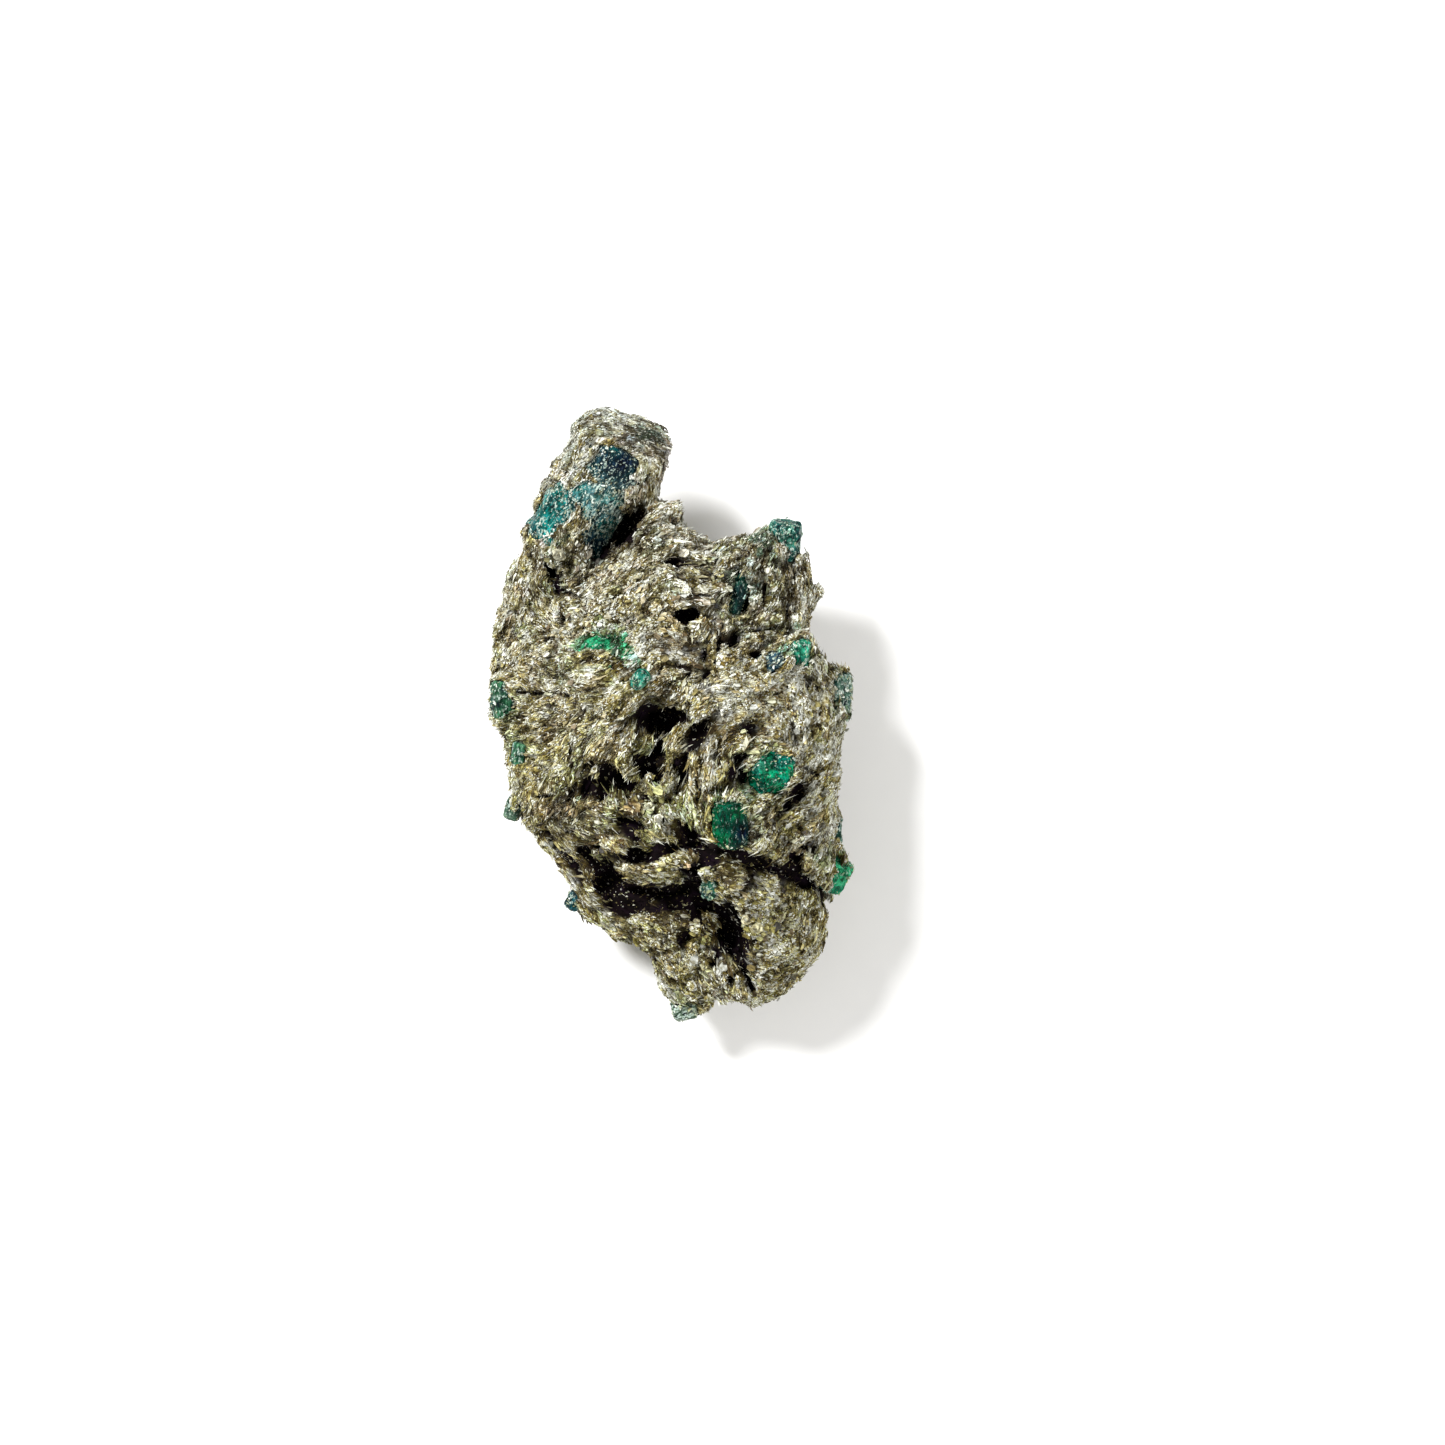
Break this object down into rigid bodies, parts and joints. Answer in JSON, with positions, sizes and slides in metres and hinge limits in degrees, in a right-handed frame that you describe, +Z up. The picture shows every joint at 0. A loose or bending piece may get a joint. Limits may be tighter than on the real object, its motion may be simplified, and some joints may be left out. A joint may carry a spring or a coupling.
{
  "type": "emerald in matrix",
  "caption": "Mineral specimen: hexagonal green emerald crystals grown in a rough, silvery mica schist matrix with a blunt horn at one end, lying on its flat cleavage face.",
  "frame": {"origin": "middle of the specimen's bounding box in plan, on the flat cleavage face that it lies on", "axes": "+Z up from the resting face to the side with the crystals, +Y along the specimen to its horn, +X to the right when the horn points away from the viewer"},
  "size_m": [0.0364, 0.0598, 0.0242],
  "materials": {
    "mica_schist": "foliated mica schist: silvery, olive and cream mica flakes with dark crevices, satin flake faces",
    "emerald": "translucent blue-green to dark green beryl, glossy prism faces with fine pits and mica dust"
  },
  "bodies": {
    "root": {"mica_schist_matrix": "mica_schist", "emerald_horn": "emerald", "emerald_nub": "emerald", "emerald_arch": "emerald", "emerald_bead": "emerald", "emerald_left_rim": "emerald", "emerald_left_low": "emerald", "emerald_round": "emerald", "emerald_block": "emerald", "emerald_right_rim": "emerald", "emerald_notch": "emerald", "emerald_blue": "emerald", "emerald_right_edge": "emerald", "emerald_side": "emerald", "emerald_foot": "emerald", "emerald_chip": "emerald", "emerald_dark": "emerald", "emerald_cleft": "emerald", "emerald_left_toe": "emerald"}
  },
  "joints": []
}
